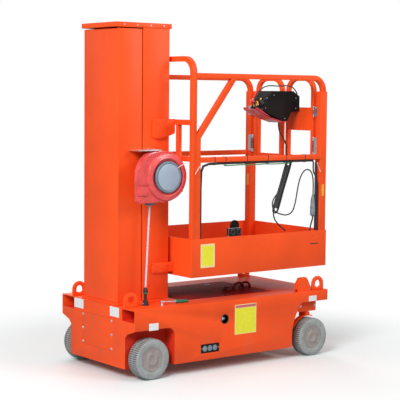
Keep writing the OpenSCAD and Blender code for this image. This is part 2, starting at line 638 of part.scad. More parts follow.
// The spare control cable: a hank under the middle rail, a loop, and an in-line connector
cable_r = 4;
cable_y = -322;
cable_route = [[1074, 1006], [1050, 982], [1033, 956], [1030, 930], [1040, 906], [1062, 888], [1100, 874],
    [1148, 869], [1185, 885], [1206, 925], [1218, 970], [1228, 1020], [1240, 1065], [1258, 1105], [1285, 1132],
    [1312, 1136], [1336, 1122], [1350, 1090], [1355, 1045], [1355, 985]];
tail_route = [[1036, 880], [1046, 852], [1064, 828], [1090, 804], [1120, 784], [1134, toe_z + 6]];
module control_cable() color(dark) {
    cord([for (p = cable_route) [p[0], cable_y, p[1]]], cable_r);
    cord([for (p = tail_route) [p[0], cable_y, p[1]]], cable_r);
}
hank_w = 40;
hank_l = 320;
hank_t = 20;
hank_y = harness_y + harness_r + run_gap;
module cable_hank() color(dark) translate([1148, 0, harness_z - hank_w / 2 + 4]) rotate([0, 20, 0])
    side_plate(hank_y, hank_y + hank_t)
    polygon(concat(arc(0, -hank_l, hank_w / 2, 180, 360, 8), arc(0, 0, hank_w / 2, 0, 180, 8)));
module cable_connector() color(grey) translate([1355, cable_y, 0]) {
    translate([0, 0, 915]) cylinder(h = 69.7, r = 15);
    translate([0, 0, 850]) cylinder(h = 66, r = 17);
}

module power_outlet() color(dark) {
    block([668, -tub_w / 2, toe_z], [768, 58 - tub_w / 2, toe_z + 56]);
    translate([748, 58 - tub_w / 2, toe_z + 56]) rotate([90, 0, 0]) cylinder(h = 10, r = 33);
}

// Cable reel
reel_mouth_z = reel_z - reel_r - 18;
reel_mouth_x = reel_x - reel_mouth_back;
reel_mid_y = reel_y + reel_t * 0.42;
module reel_housing() color(pink) mirror([0, 1, 0]) {
    y_cylinder(reel_x, reel_z, reel_y, reel_y + reel_t, reel_r);
    y_cylinder(reel_x, reel_z, reel_y + reel_t - 1, reel_y + reel_t + 8, reel_r - 26);
    side_plate(reel_y + 6, reel_y + reel_t - 12) polygon([[reel_x, reel_z - reel_r], [52, reel_z - reel_r],
        [36, reel_z - reel_r + 16], [32, reel_z + 40], [44, reel_z + 72], [84, reel_z + 112], [140, reel_z + 138],
        [reel_x, reel_z + reel_r]]);
    translate([reel_mouth_x, reel_mid_y, reel_mouth_z]) cylinder(h = 40, r = 15);
}
module reel_face() color(steel) mirror([0, 1, 0])
    y_cylinder(reel_x, reel_z, reel_y + reel_t + 8, reel_y + reel_t + 14, reel_r - 52);
module reel_bracket() color(steel) {
    block([200, -reel_y, reel_z - 60], [300, -mast_w / 2, reel_z + 60]);
    block([seam_x + 10, -reel_y - 1, reel_z + reel_r + run_gap], [seam_x + 90, -mast_w / 2, reel_z + reel_r + 8]);
    block([50, -reel_y - 60, reel_z + reel_r + run_gap], [seam_x + 90, -reel_y, reel_z + reel_r + 8]);
}
fitting_top = deck_z + 100;
// The cable leans, so it ends a little short of both of its seats
cable_end_gap = 0.5;
module reel_cable() color(dark) cord([[fitting_x, -reel_mid_y, fitting_top + cable_end_gap],
    [reel_mouth_x, -reel_mid_y, reel_mouth_z - cable_end_gap]], reel_cable_r);
module cable_fitting() color(dark) translate([fitting_x, -reel_mid_y, deck_z]) {
    cylinder(h = 26, r = 20);
    cylinder(h = fitting_top - deck_z, r = 9);
    translate([0, 0, 66]) cylinder(h = fitting_top - deck_z - 66, r = 13);
}

from_rear() chassis_shell();
from_rear() chassis_sides();
from_rear() chassis_deck();
from_rear() fork_pockets();
from_rear() deck_cover();
from_rear() rear_access_panel();
from_rear() lifting_eyes();
from_rear() socket_panel();
from_rear() battery_pack();
from_rear() ballast_block();
from_rear() pump_lever();
from_rear() deck_fittings();
from_rear() steer_carrier();
from_rear() drive_stubs();
from_rear() knuckle_right();
from_rear() knuckle_left();
from_rear() tie_rod();
from_rear() tyre_rear_right();
from_rear() tyre_rear_left();
from_rear() tyre_front_right();
from_rear() tyre_front_left();
from_rear() hub_rear_right();
from_rear() hub_rear_left();
from_rear() hub_front_right();
from_rear() hub_front_left();
from_rear() mast_foot();
from_rear() mast_base();
from_rear() mast_stage_1();
from_rear() mast_stage_2();
from_rear() mast_stage_3();
from_rear() mast_top_stage();
from_rear() mast_cap();
from_rear() carriage_arms();
from_rear() platform_floor();
from_rear() floor_bearers();
from_rear() toe_boards();
from_rear() rear_guard();
from_rear() guardrail_right();
from_rear() guardrail_left();
from_rear() front_posts();
from_rear() gate_leaf_right();
from_rear() gate_leaf_left();
from_rear() gate_hinges_fixed();
from_rear() control_box();
from_rear() emergency_stop();
from_rear() joystick();
from_rear() box_guard();
from_rear() box_lead();
from_rear() rail_harness();
from_rear() control_cable();
from_rear() cable_hank();
from_rear() cable_connector();
from_rear() power_outlet();
from_rear() reel_housing();
from_rear() reel_face();
from_rear() reel_bracket();
from_rear() reel_cable();
from_rear() cable_fitting();
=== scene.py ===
import json
from math import atan2, cos, pi, radians, sin

import bmesh
import bpy
from mathutils import Matrix, Vector

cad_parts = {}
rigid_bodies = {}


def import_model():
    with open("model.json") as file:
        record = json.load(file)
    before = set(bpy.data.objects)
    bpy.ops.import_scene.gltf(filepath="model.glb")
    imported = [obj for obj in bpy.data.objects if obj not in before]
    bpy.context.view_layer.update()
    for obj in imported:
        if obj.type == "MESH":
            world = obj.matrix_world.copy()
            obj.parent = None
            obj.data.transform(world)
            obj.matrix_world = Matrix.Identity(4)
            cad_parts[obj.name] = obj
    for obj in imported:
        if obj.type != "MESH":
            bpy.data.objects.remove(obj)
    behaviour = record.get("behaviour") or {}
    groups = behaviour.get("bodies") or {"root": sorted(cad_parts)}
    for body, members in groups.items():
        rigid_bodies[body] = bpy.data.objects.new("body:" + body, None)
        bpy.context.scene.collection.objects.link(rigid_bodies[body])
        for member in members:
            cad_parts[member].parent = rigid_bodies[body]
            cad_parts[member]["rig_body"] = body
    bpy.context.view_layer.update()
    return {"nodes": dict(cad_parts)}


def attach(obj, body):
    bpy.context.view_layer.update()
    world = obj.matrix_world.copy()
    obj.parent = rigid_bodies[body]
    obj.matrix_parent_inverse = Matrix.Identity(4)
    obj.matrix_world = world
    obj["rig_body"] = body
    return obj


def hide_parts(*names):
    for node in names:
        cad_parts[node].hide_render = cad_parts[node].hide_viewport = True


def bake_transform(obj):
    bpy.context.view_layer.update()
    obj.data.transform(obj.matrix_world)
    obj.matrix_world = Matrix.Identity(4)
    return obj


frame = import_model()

scene = bpy.context.scene
scene.view_settings.view_transform = "Standard"


def at(x, y, z):
    """A place in millimetres, with x from the chassis's rear face, in metres of the shared frame."""
    return Vector((x / 1000 - 0.718, y / 1000, z / 1000))


# Camera, fitted to the photograph's frame of 400 by 400
yaw, pitch, roll = 0.9178373, 0.0813819, 0.0089644
level = Vector((cos(yaw), sin(yaw), 0))
up = Vector((0, 0, 1))
ahead = level * cos(pitch) - up * sin(pitch)
above = up * cos(pitch) + level * sin(pitch)
side = Vector((sin(yaw), -cos(yaw), 0))
right = side * cos(roll) + above * sin(roll)
above = above * cos(roll) - side * sin(roll)
lens = bpy.data.cameras.new("camera")
lens.lens = 1289.15 * 36 / 400
lens.clip_end = 200
camera = bpy.data.objects.new("camera", lens)
camera.matrix_world = Matrix.Translation((-4.6838, -6.1421, 1.5833)) @ Matrix(
    (right, above, -ahead)).transposed().to_4x4()
scene.collection.objects.link(camera)
scene.camera = camera


# Shader maths as Python expressions
class Value:
    """A number from a shader socket."""

    def __init__(self, finish, socket):
        self.finish, self.socket = finish, socket

    def sum_with(self, operation, *terms):
        return self.finish.node("ShaderNodeMath", {"operation": operation}, dict(enumerate(terms)))

    def __add__(self, other):
        return self.sum_with("ADD", self, other)

    def __sub__(self, other):
        return self.sum_with("SUBTRACT", self, other)

    def __rsub__(self, other):
        return self.sum_with("SUBTRACT", other, self)

    def __mul__(self, other):
        return self.sum_with("MULTIPLY", self, other)

    __radd__, __rmul__ = __add__, __mul__


class Finish:
    """One material: constants go on the shader's own sockets, and the rest is linked."""

    def __init__(self, name, base, **constants):
        self.material = bpy.data.materials.new(name)
        self.material.use_nodes = True
        self.tree = self.material.node_tree
        self.shader = self.tree.nodes["Principled BSDF"]
        self.base = (*base, 1)
        self.put("Base Color", self.base)
        for name, value in constants.items():
            self.put(name.replace("_", " ").title().replace("Ior", "IOR"), value)

    def put(self, socket, value):
        """Sets or links one socket of the shader."""
        self.fill(self.shader.inputs[socket], value)

    def fill(self, socket, value):
        if isinstance(value, Value):
            self.tree.links.new(value.socket, socket)
        else:
            socket.default_value = value

    def node(self, kind, settings=None, sockets=None, output=0):
        """Any node: its settings first, then the values or links of its sockets."""
        made = self.tree.nodes.new(kind)
        for name, value in (settings or {}).items():
            setattr(made, name, value)
        for name, value in (sockets or {}).items():
            self.fill(made.inputs[name], value)
        return Value(self, made.outputs[output])

    def place(self, scale=(1, 1, 1), centre=(0, 0, 0), turn=(0, 0, 0)):
        """The piece's own coordinates in metres, moved to a centre, turned and scaled."""
        here = self.node("ShaderNodeTexCoord", output=3)
        moved = self.node("ShaderNodeVectorMath", {"operation": "SUBTRACT"}, {0: here, 1: centre})
        return self.node("ShaderNodeMapping", None, {"Vector": moved, "Rotation": turn, "Scale": scale})

    def noise(self, scale, place=None, detail=4.0, roughness=0.55):
        return self.node("ShaderNodeTexNoise", {"noise_dimensions": "3D"}, {
            "Vector": place or self.place(), "Scale": scale, "Detail": detail, "Roughness": roughness})

    def part_of(self, value, low, high, to_low=0.0, to_high=1.0):
        """Turns the range low to high of a value smoothly into another."""
        return self.node("ShaderNodeMapRange", {"interpolation_type": "SMOOTHSTEP"}, {
            "Value": value, "From Min": low, "From Max": high, "To Min": to_low, "To Max": to_high})

    def mix(self, share, first, second):
        """A colour between two others."""
        return self.node("ShaderNodeMix", {"data_type": "RGBA"}, {0: share, 6: first, 7: second}, output=2)

    def height(self):
        """Height above the ground, in metres."""
        return self.node("ShaderNodeSeparateXYZ", None, {0: self.place()}, output=2)

    def relief(self, value, depth, strength=1.0):
        """Raises the surface by a value times a depth in metres."""
        self.put("Normal", self.node("ShaderNodeBump", None, {
            "Height": value, "Distance": depth, "Strength": strength}))


def tone(colour, k):
    return (*(min(1, c * k) for c in colour[:3]), 1)


def powder_coat(name, base, roughness=0.4, coat=0.06, gloss=0.16):
    """Powder coat with orange peel, a slow change of tone, dust near the ground and faint scuffs."""
    f = Finish(name, base, coat_weight=coat, coat_roughness=0.22, specular_ior_level=gloss)
    slow = f.noise(3.2, detail=3)
    cloud = f.part_of(slow, 0.3, 0.7)
    scuff = f.part_of(f.noise(22, f.place((1, 1, 0.12)), detail=8, roughness=0.72), 0.66, 0.78)
    dust = f.part_of(f.height(), 0.36, 0.05) * f.part_of(f.noise(14, detail=6), 0.42, 0.72)
    paint = f.mix(cloud, tone(base, 0.94), tone(base, 1.05))
    paint = f.mix(scuff * 0.16, paint, tone(base, 0.6))
    f.put("Base Color", f.mix(dust * 0.15, paint, (0.42, 0.22, 0.14, 1)))
    f.put("Roughness", roughness + cloud * 0.05 + dust * 0.25 + scuff * 0.12)
    f.relief(f.noise(420, detail=2) + scuff * 0.4, 0.00022, 0.55)
    return f.material


def moulded(name, base, roughness=0.42, grain=900, depth=0.00012, spread=0.12, **constants):
    """Moulded plastic or rubber with a fine grain and slightly uneven gloss."""
    f = Finish(name, base, **constants)
    cloud = f.part_of(f.noise(26, detail=5), 0.32, 0.68)
    f.put("Base Color", f.mix(cloud, tone(base, 1 - spread), tone(base, 1 + spread)))
    f.put("Roughness", roughness + cloud * 0.12)
    f.relief(f.noise(grain, detail=2), depth, 0.6)
    return f.material


def zinc(name, base, stretch=(1, 1, 12), roughness=0.3):
    """Bright plated steel, drawn along one direction, with a few dull spots."""
    f = Finish(name, base, metallic=0.9)
    drawn = f.noise(160, f.place(stretch), detail=3)
    dull = f.part_of(f.noise(35, detail=6), 0.55, 0.7)
    f.put("Base Color", f.mix(dull, (*base, 1), tone(base, 0.62)))
    f.put("Roughness", roughness + dull * 0.25 + drawn * 0.08)
    f.relief(drawn, 0.00008, 0.5)
    return f.material


def solid_tyre(name, axle_x):
    """Pale solid rubber, scuffed on the tread, with random darker patches of grime."""
    base = (0.36, 0.365, 0.36)
    f = Finish(name, base)
    mottle = f.part_of(f.noise(48, detail=7, roughness=0.7), 0.35, 0.68)
    grime = f.part_of(f.noise(11, f.place(centre=at(axle_x, 0, 115)), detail=5), 0.45, 0.75)
    worn = f.mix(mottle, tone(base, 0.86), tone(base, 1.12))
    f.put("Base Color", f.mix(grime * 0.45, worn, (0.27, 0.25, 0.235, 1)))
    f.put("Roughness", 0.72 + mottle * 0.14)
    f.relief(mottle + f.noise(700, detail=2) * 0.5, 0.0003, 0.7)
    return f.material


def chequer_plate(name, base):
    """Painted floor plate with raised lozenges in two directions."""
    f = Finish(name, base, coat_weight=0.15)
    bars = []
    for turn, shift in ((45, 0.0), (-45, 0.5)):
        spot = f.node("ShaderNodeTexVoronoi", {"voronoi_dimensions": "2D", "feature": "F1"}, {
            "Vector": f.place((62, 22, 1), (shift / 100, 0, 0), (0, 0, radians(turn))),
            "Scale": 1.0, "Randomness": 0.0})
        bars.append(f.part_of(spot, 0.3, 0.22))
    lozenge = bars[0] + bars[1]
    dirt = f.part_of(f.noise(9, detail=6), 0.4, 0.7)
    f.put("Base Color", f.mix(dirt * (1 - lozenge * 0.5), tone(base, 1), tone(base, 0.5)))
    f.put("Roughness", 0.42 + dirt * 0.2)
    f.relief(lozenge, 0.0012, 0.8)
    return f.material


def plate_print(name, base, second=None):
    """A blank foil plate, faintly uneven where it was rolled on."""
    f = Finish(name, base, coat_weight=0.5, coat_roughness=0.12)
    cloud = f.part_of(f.noise(60, detail=3), 0.3, 0.7)
    f.put("Base Color", f.mix(cloud, tone(base, 0.95), second or tone(base, 1.03)))
    f.put("Roughness", 0.34 + cloud * 0.08)
    f.relief(cloud, 0.00006, 0.4)
    return f.material


def ringed(name, base, roughness=0.5):
    """Cable sheath with faint rings left by the extruder."""
    f = Finish(name, base)
    ring = f.noise(320, f.place((0.2, 0.2, 1)), detail=1)
    f.put("Base Color", f.mix(ring, tone(base, 0.85), tone(base, 1.15)))
    f.put("Roughness", roughness + ring * 0.12)
    f.relief(ring, 0.00012, 0.5)
    return f.material


orange = powder_coat("orange_powder_coat", (0.96, 0.088, 0.014))
# A darker red-orange copy of the orange paint: painted shade for the wheel arches and the fork pockets.
painted_shade_orange = powder_coat("painted_shade_red_orange", (0.74, 0.03, 0.01), 0.5, 0.0, 0.2)
# Dark maroon for the deck cover: painted shade of the orange deck under the platform.
deck_shade_paint = powder_coat("deck_painted_shade_red", (0.3, 0.012, 0.009), 0.5, 0.0, 0.03)
hose_red = moulded("dark_red_hose", (0.16, 0.012, 0.013), 0.35)
rubber_rear = solid_tyre("pale_rubber_rear", 122)
rubber_front = solid_tyre("pale_rubber_front", 1319)
# Dark grey for the floors and sides of the tyre's rib grooves: painted shade in the grooves.
groove_shade_grey = moulded("groove_shade_grey", (0.09, 0.085, 0.083), 0.7)
wheel_disc = moulded("wheel_disc_grey", (0.34, 0.285, 0.268), 0.5, 300, 0.0002, 0.07)
bright_zinc = zinc("bright_zinc", (0.66, 0.67, 0.7))
spring_steel = zinc("dark_spring_steel", (0.16, 0.15, 0.16), roughness=0.4)
floor_plate = chequer_plate("floor_plate", (0.72, 0.07, 0.02))
box_black = moulded("box_black", (0.009, 0.0085, 0.0085), 0.5, 700, 0.0002, specular_ior_level=0.15)
soft_black = moulded("soft_black", (0.02, 0.02, 0.021), 0.55)
grey_plastic = moulded("grey_plastic", (0.2, 0.24, 0.27), 0.45)
scoop_red = moulded("scoop_red", (0.62, 0.035, 0.045), 0.3, coat_weight=0.4)
reel_red = moulded("reel_red_plastic", (0.78, 0.075, 0.072), 0.3, coat_weight=0.5)
disc_blue = moulded("disc_pale_blue", (0.36, 0.42, 0.52), 0.3, coat_weight=0.6, spread=0.04)
disc_rim = moulded("disc_rim_blue_grey", (0.16, 0.22, 0.27), 0.35)
stop_red = moulded("stop_red", (0.62, 0.012, 0.012), 0.25, coat_weight=0.6)
stop_yellow = moulded("stop_yellow", (0.86, 0.5, 0.02), 0.35)
grip_green = moulded("grip_green", (0.012, 0.19, 0.1), 0.4)
strap_green = moulded("strap_green", (0.05, 0.28, 0.1), 0.7, 1500, 0.0003)
tie_white = moulded("tie_white", (0.78, 0.76, 0.76), 0.4)
cable_black = ringed("cable_black", (0.016, 0.016, 0.017))
cable_pale = ringed("cable_pale", (0.62, 0.62, 0.72), 0.35)
plate_yellow = plate_print("plate_yellow", (0.88, 0.8, 0.015))
plate_cream = plate_print("plate_cream", (0.9, 0.74, 0.32))
plate_white = plate_print("plate_white", (0.86, 0.84, 0.84))
plate_rose = plate_print("plate_rose", (0.62, 0.12, 0.16))
amber_strip = plate_print("amber_strip", (0.9, 0.42, 0.03))
battery_case = moulded("battery_case", (0.03, 0.03, 0.032), 0.5)
ballast_iron = moulded("ballast_iron", (0.07, 0.065, 0.06), 0.7, 120, 0.0006)


# Mesh making, all in millimetres from the rear face and then placed by at()
def slab(bm, low, high, finish=0):
    """A solid between two corners."""
    a, b = at(*low), at(*high)
    made = bmesh.ops.create_cube(bm, size=1, matrix=Matrix.Translation((a + b) / 2)
                                 @ Matrix.Diagonal((*(b - a), 1)))
    faces = {f for v in made["verts"] for f in v.link_faces}
    for f in faces:
        f.material_index = finish
    return list(faces)


def rod(bm, start, end, r, r_end=None, sides=20, finish=0):
    """A round bar between two places, with its radius in millimetres."""
    a, b = at(*start), at(*end)
    turn = up.rotation_difference(b - a).to_matrix().to_4x4()
    made = bmesh.ops.create_cone(bm, cap_ends=True, segments=sides, radius1=r / 1000,
                                 radius2=(r if r_end is None else r_end) / 1000, depth=(b - a).length,
                                 matrix=Matrix.Translation((a + b) / 2) @ turn)
    faces = {f for v in made["verts"] for f in v.link_faces}
    for f in faces:
        f.material_index = finish
        f.smooth = len(f.verts) == 4
    return list(faces)


def turned(bm, base, direction, profile, steps=40, finish=0):
    """A turned solid: radius and height pairs in millimetres, spun about a line from a base."""
    a, axis = at(*base), Vector(direction).normalized()
    out = axis.orthogonal().normalized()
    rail = [bm.verts.new(a + (out * r + axis * h) / 1000) for r, h in profile]
    edges = [bm.edges.new(pair) for pair in zip(rail, rail[1:])]
    made = bmesh.ops.spin(bm, geom=rail + edges, cent=a, axis=axis, angle=2 * pi, steps=steps, use_merge=True)
    verts = list({v for f in {f for e in edges for f in e.link_faces} for v in f.verts} | set(rail)
                 | {v for v in made["geom_last"] if isinstance(v, bmesh.types.BMVert)})
    seen, edge = set(), list(verts)
    while edge:
        v = edge.pop()
        if v not in seen:
            seen.add(v)
            edge += [e.other_vert(v) for e in v.link_edges]
    bmesh.ops.remove_doubles(bm, verts=list(seen), dist=1e-5)
    faces = {f for v in seen if v.is_valid for f in v.link_faces}
    bmesh.ops.recalc_face_normals(bm, faces=list(faces))
    for f in faces:
        f.material_index, f.smooth = finish, True
    return list(faces)


def outline(bm, points, y0, y1, finish=0):
    """A solid from a side view in X and Z, between two distances across."""
    face = bm.faces.new([bm.verts.new(at(x, y0, z)) for x, z in points])
    made = bmesh.ops.extrude_face_region(bm, geom=[face])
    moved = [v for v in made["geom"] if isinstance(v, bmesh.types.BMVert)]
    bmesh.ops.translate(bm, verts=moved, vec=(0, (y1 - y0) / 1000, 0))
    faces = {f for v in moved for f in v.link_faces} | {face}
    bmesh.ops.recalc_face_normals(bm, faces=list(faces))
    for f in faces:
        f.material_index = finish
    return list(faces)


def hex_bolt(bm, place, direction, across=13, height=5, finish=0):
    """A hexagon head on a washer, standing on a face."""
    axis = Vector(direction).normalized()

    def out(h):
        return tuple(Vector(place) + axis * h)
    rod(bm, out(-0.5), out(1.2), across * 0.8, sides=24, finish=finish)
    rod(bm, out(1.2), out(height * 0.8), across * 0.58, sides=6, finish=finish)
    rod(bm, out(height * 0.8), out(height), across * 0.58, across * 0.46, sides=6, finish=finish)


def piece(name, body, bm, finishes, round_by=0.0, steps=2, smooth_angle=35):
    """Makes an object of a finished mesh, which rides on a body."""
    mesh = bpy.data.meshes.new(name)
    bm.to_mesh(mesh)
    bm.free()
    for finish in finishes:
        mesh.materials.append(finish)
    made = bpy.data.objects.new(name, mesh)
    scene.collection.objects.link(made)
    if round_by:
        soft = made.modifiers.new("rounded_edges", "BEVEL")
        soft.width, soft.segments, soft.limit_method = round_by / 1000, steps, "ANGLE"
        soft.angle_limit, soft.harden_normals = radians(smooth_angle), True
        for f in mesh.polygons:
            f.use_smooth = True
    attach(made, body)
    return made


def in_arch(place):
    """Whether a place is inside a wheel arch: behind the skirt, under the deck and beside a wheel."""
    x, y, z = (place.x + 0.718) * 1000, abs(place.y) * 1000, place.z * 1000
    return 190 < y < 376 and z < 345 and (5 < x < 290 or 1150 < x < 1430)


def softened(node, finish, round_by):
    """A copy of a CAD node with rounded edges, which replaces it; on the chassis, its faces in the wheel arches take
    the darker red-orange as painted shade.
    """
    source = frame["nodes"][node]
    bm = bmesh.new()
    bm.from_mesh(source.data)
    bmesh.ops.remove_doubles(bm, verts=bm.verts[:], dist=1e-5)
    bmesh.ops.dissolve_limit(bm, angle_limit=radians(0.6), verts=bm.verts[:], edges=bm.edges[:])
    # On the chassis, faces inside the wheel arches get the darker red-orange as painted shade.
    arch_shade_painted = node.startswith("chassis")
    for f in bm.faces:
        f.material_index = int(arch_shade_painted and in_arch(f.calc_center_median()))
    made = piece(node + "_rounded", source["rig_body"], bm, [finish, painted_shade_orange] if arch_shade_painted else [finish], round_by)
    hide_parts(node)
    return made


def tube(name, body, route, r, finish, smooth=True):
    """A round cable or wire along a route in millimetres."""
    line = bpy.data.curves.new(name, "CURVE")
    line.dimensions, line.bevel_depth, line.bevel_resolution = "3D", r / 1000, 4
    line.use_fill_caps = True
    spline = line.splines.new("BEZIER" if smooth else "POLY")
    if smooth:
        spline.bezier_points.add(len(route) - 1)
        for point, place in zip(spline.bezier_points, route):
            point.co, point.handle_left_type, point.handle_right_type = at(*place), "AUTO", "AUTO"
        spline.resolution_u = 5
    else:
        spline.points.add(len(route) - 1)
        for point, place in zip(spline.points, route):
            point.co = (*at(*place), 1)
    line.materials.append(finish)
    made = bpy.data.objects.new(name, line)
    scene.collection.objects.link(made)
    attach(made, body)
    return made


# The spare control cable: from the toe board up into its hank, two turns, a loop, and its connector
cable_y, cable_d = -322, 8
hank_top = (1148, 1179.7 - 0.3)
lean = radians(20)


def in_hank(across, y, down):
    return (hank_top[0] + across * cos(lean) - down * sin(lean), y,
            hank_top[1] - across * sin(lean) - down * cos(lean))


def hank_turn(y_from, y_to, fold=16, run=296):
    """One turn of the hank: down its front run, round the foot, up the back run and round the head."""
    route = [in_hank(fold, y_from, 0), in_hank(fold, y_from, run / 2), in_hank(fold, y_from, run)]
    route += [in_hank(fold * cos(radians(a)), y_from + (y_to - y_from) * a / 360, run + fold * sin(radians(a)))
              for a in (45, 90, 135)]
    mid = (y_from + y_to) / 2
    route += [in_hank(-fold, mid, run), in_hank(-fold, mid, run / 2), in_hank(-fold, mid, 0)]
    route += [in_hank(-fold * cos(radians(a)), mid + (y_to - mid) * a / 180, -fold * sin(radians(a)))
              for a in (45, 90, 135)]
    return route


tail = [(1134, cable_y, 772), (1120, cable_y, 784), (1090, cable_y, 804), (1064, cable_y, 828),
        (1044, cable_y - 3, 852), in_hank(-6, -328, 318), in_hank(-13, -330, 270), in_hank(-16, -332, 160),
        in_hank(-16, -333, 0), in_hank(-11, -333, -11), in_hank(0, -333, -16), in_hank(11, -333, -11)]
loop = [(1050, 982), (1033, 956), (1030, 930), (1040, 906), (1062, 888), (1100, 874), (1148, 869),
        (1185, 885), (1206, 925), (1218, 970), (1228, 1020), (1240, 1065), (1258, 1105), (1285, 1132),
        (1312, 1136), (1336, 1122), (1350, 1090), (1355, 1045), (1355, 985.5)]
spare_route = (tail + hank_turn(-332, -327) + hank_turn(-327, cable_y)
               + [in_hank(15, cable_y, 20), in_hank(6, cable_y, 110), in_hank(-6, cable_y, 165),
                  (1074, cable_y, 1006)] + [(x, cable_y, z) for x, z in loop])
spare_cable = tube("spare_control_cable", "platform", spare_route, cable_d / 2, cable_black)
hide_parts("control_cable", "cable_hank")

bm = bmesh.new()
turned(bm, (1355, cable_y, 850), (0, 0, 1), [(0, 0), (9, 0), (12, 6), (16.5, 8), (17, 12), (17, 40), (16, 42),
       (16, 46), (17, 48), (17, 60), (15, 66), (14.5, 96), (13, 104), (13, 112), (9, 118), (7, 134), (0, 134)], 32)
for k in range(6):
    turned(bm, (1355, cable_y, 856 + 5 * k), (0, 0, 1), [(16.8, 0), (17.6, 0.8), (17.6, 1.8), (16.8, 2.6)], 32)
connector = piece("inline_connector", "platform", bm, [grey_plastic])
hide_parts("cable_connector")
tuple(at(*spare_route[0]))

# CAD nodes that are softened at their edges, with their rounding in millimetres
# The fork pockets take the darker red-orange as painted shade in their recesses.
for node, finish, round_by in (
        ("chassis_sides", orange, 1.6), ("chassis_shell", orange, 1.2), ("chassis_deck", orange, 1.2),
        ("fork_pockets", painted_shade_orange, 1.0), ("rear_access_panel", orange, 1.0), ("lifting_eyes", orange, 2.0),
        ("steer_carrier", orange, 1.5), ("knuckle_right", orange, 1.2), ("knuckle_left", orange, 1.2),
        ("mast_foot", orange, 1.5), ("mast_base", orange, 3.0), ("mast_stage_1", orange, 2.0),
        ("mast_stage_2", orange, 2.0), ("mast_stage_3", orange, 2.0), ("mast_top_stage", orange, 3.0),
        ("mast_cap", orange, 2.0), ("carriage_arms", orange, 3.0), ("toe_boards", orange, 1.5),
        ("floor_bearers", orange, 1.5), ("rear_guard", orange, 3.0), ("guardrail_right", orange, 3.0),
        ("guardrail_left", orange, 3.0), ("front_posts", orange, 4.0), ("gate_leaf_right", orange, 2.2),
        ("gate_leaf_left", orange, 2.2)):
    softened(node, finish, round_by)

# CAD nodes that stay, with their own finish
for node, finish in (
        ("platform_floor", floor_plate), ("battery_pack", battery_case), ("ballast_block", ballast_iron),
        ("tie_rod", bright_zinc), ("drive_stubs", bright_zinc), ("gate_hinges_fixed", bright_zinc),
        ("box_lead", cable_black), ("rail_harness", cable_black)):
    for place in frame["nodes"][node].material_slots:
        place.material = finish

# Wheels: a solid tyre with cross ribs at both shoulders, and a flat disc with a cap
tyre_profile = [(68, 2), (68, 78), (71, 80), (106, 80), (110.5, 78), (113.5, 75.5), (115, 71), (115, 44.5),
                (110, 43), (110, 37), (115, 35.5), (115, 9), (113.5, 4.5), (110.5, 2), (106, 0), (71, 0), (68, 2)]
rib_steps = 116


def wheel(corner, axle_x, sign, rubber):
    inner = (axle_x, sign * 300, 115)
    bm = bmesh.new()
    faces = turned(bm, inner, (0, sign, 0), tyre_profile, rib_steps)
    centre = at(*inner)
    ribs = []
    for f in faces:
        middle = f.calc_center_median()
        reach = (Vector((middle.x, middle.z)) - Vector((centre.x, centre.z))).length
        depth = abs(middle.y - centre.y)
        turn = int(((atan2(middle.z - centre.z, middle.x - centre.x) + pi) / (2 * pi)) * rib_steps + 0.5) % 2
        if turn == 0 and reach > 0.1118 and not 0.036 < depth < 0.044:
            ribs.append(f)
    sunk = bmesh.ops.extrude_face_region(bm, geom=ribs)
    for v in (g for g in sunk["geom"] if isinstance(g, bmesh.types.BMVert)):
        out = Vector((v.co.x - centre.x, 0, v.co.z - centre.z)).normalized()
        v.co -= out * 0.005
    # The sunk groove faces take the dark grey as painted shade.
    for f in (g for g in sunk["geom"] if isinstance(g, bmesh.types.BMFace)):
        f.material_index = 1
    bmesh.ops.delete(bm, geom=ribs, context="FACES_ONLY")
    bmesh.ops.recalc_face_normals(bm, faces=bm.faces[:])
    for f in bm.faces:
        f.smooth = True
    tyre = piece("tyre_ribbed_" + corner, "wheel_" + corner, bm, [rubber, groove_shade_grey])
    tyre.data.set_sharp_from_angle(angle=radians(38))
    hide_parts("tyre_" + corner)
    bm = bmesh.new()
    turned(bm, inner, (0, sign, 0), [(15.1, 4), (30, 4), (34, 14), (60, 14), (64, 4), (67.9, 4), (67.9, 76), (65, 78.6),
           (60, 77.2), (36, 76.2), (34, 77.4), (33, 79.4), (20, 79.6), (17, 78.2), (0, 78), (0, 51), (15.1, 51),
           (15.1, 4)], 64)
    for k in range(5):
        a = radians(72 * k + 18)
        hex_bolt(bm, (axle_x + 47 * cos(a), sign * 376.6, 115 + 47 * sin(a)), (0, sign, 0), 9, 2.6)
    disc = piece("wheel_disc_" + corner, "wheel_" + corner, bm, [wheel_disc])
    disc.data.set_sharp_from_angle(angle=radians(38))
    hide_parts("hub_" + corner)


for corner, axle_x, sign, rubber in (("rear_right", 122, -1, rubber_rear), ("rear_left", 122, 1, rubber_rear),
                                     ("front_right", 1319, -1, rubber_front), ("front_left", 1319, 1, rubber_front)):
    wheel(corner, axle_x, sign, rubber)


# Blank plates: a thin foil with a border and its field
def foil(name, body, low, high, face_axis, out, border, field, margin=5, thick=0.7, head=None):
    """A blank plate on a face across Y or X; out is the side that it looks to."""
    bm = bmesh.new()
    lo, hi = list(low), list(high)
    axis = 1 if face_axis == "y" else 0
    base = lo[axis]
    lo[axis], hi[axis] = sorted((base - out * 0.05, base + out * thick))
    slab(bm, lo, hi)
    lift = base + out * (thick + 0.15)
    inner_lo, inner_hi = [v + margin for v in lo], [v - margin for v in hi]
    inner_lo[axis], inner_hi[axis] = sorted((base + out * thick * 0.5, lift))
    if head:
        inner_hi[2] -= head
        slab(bm, [inner_lo[0], inner_lo[1], inner_hi[2] + 2], [inner_hi[0], inner_hi[1], inner_hi[2] + head], 2)
    slab(bm, inner_lo, inner_hi, 1)
    return piece(name, body, bm, [border, field] + ([plate_rose] if head else []), 0.2, 1)


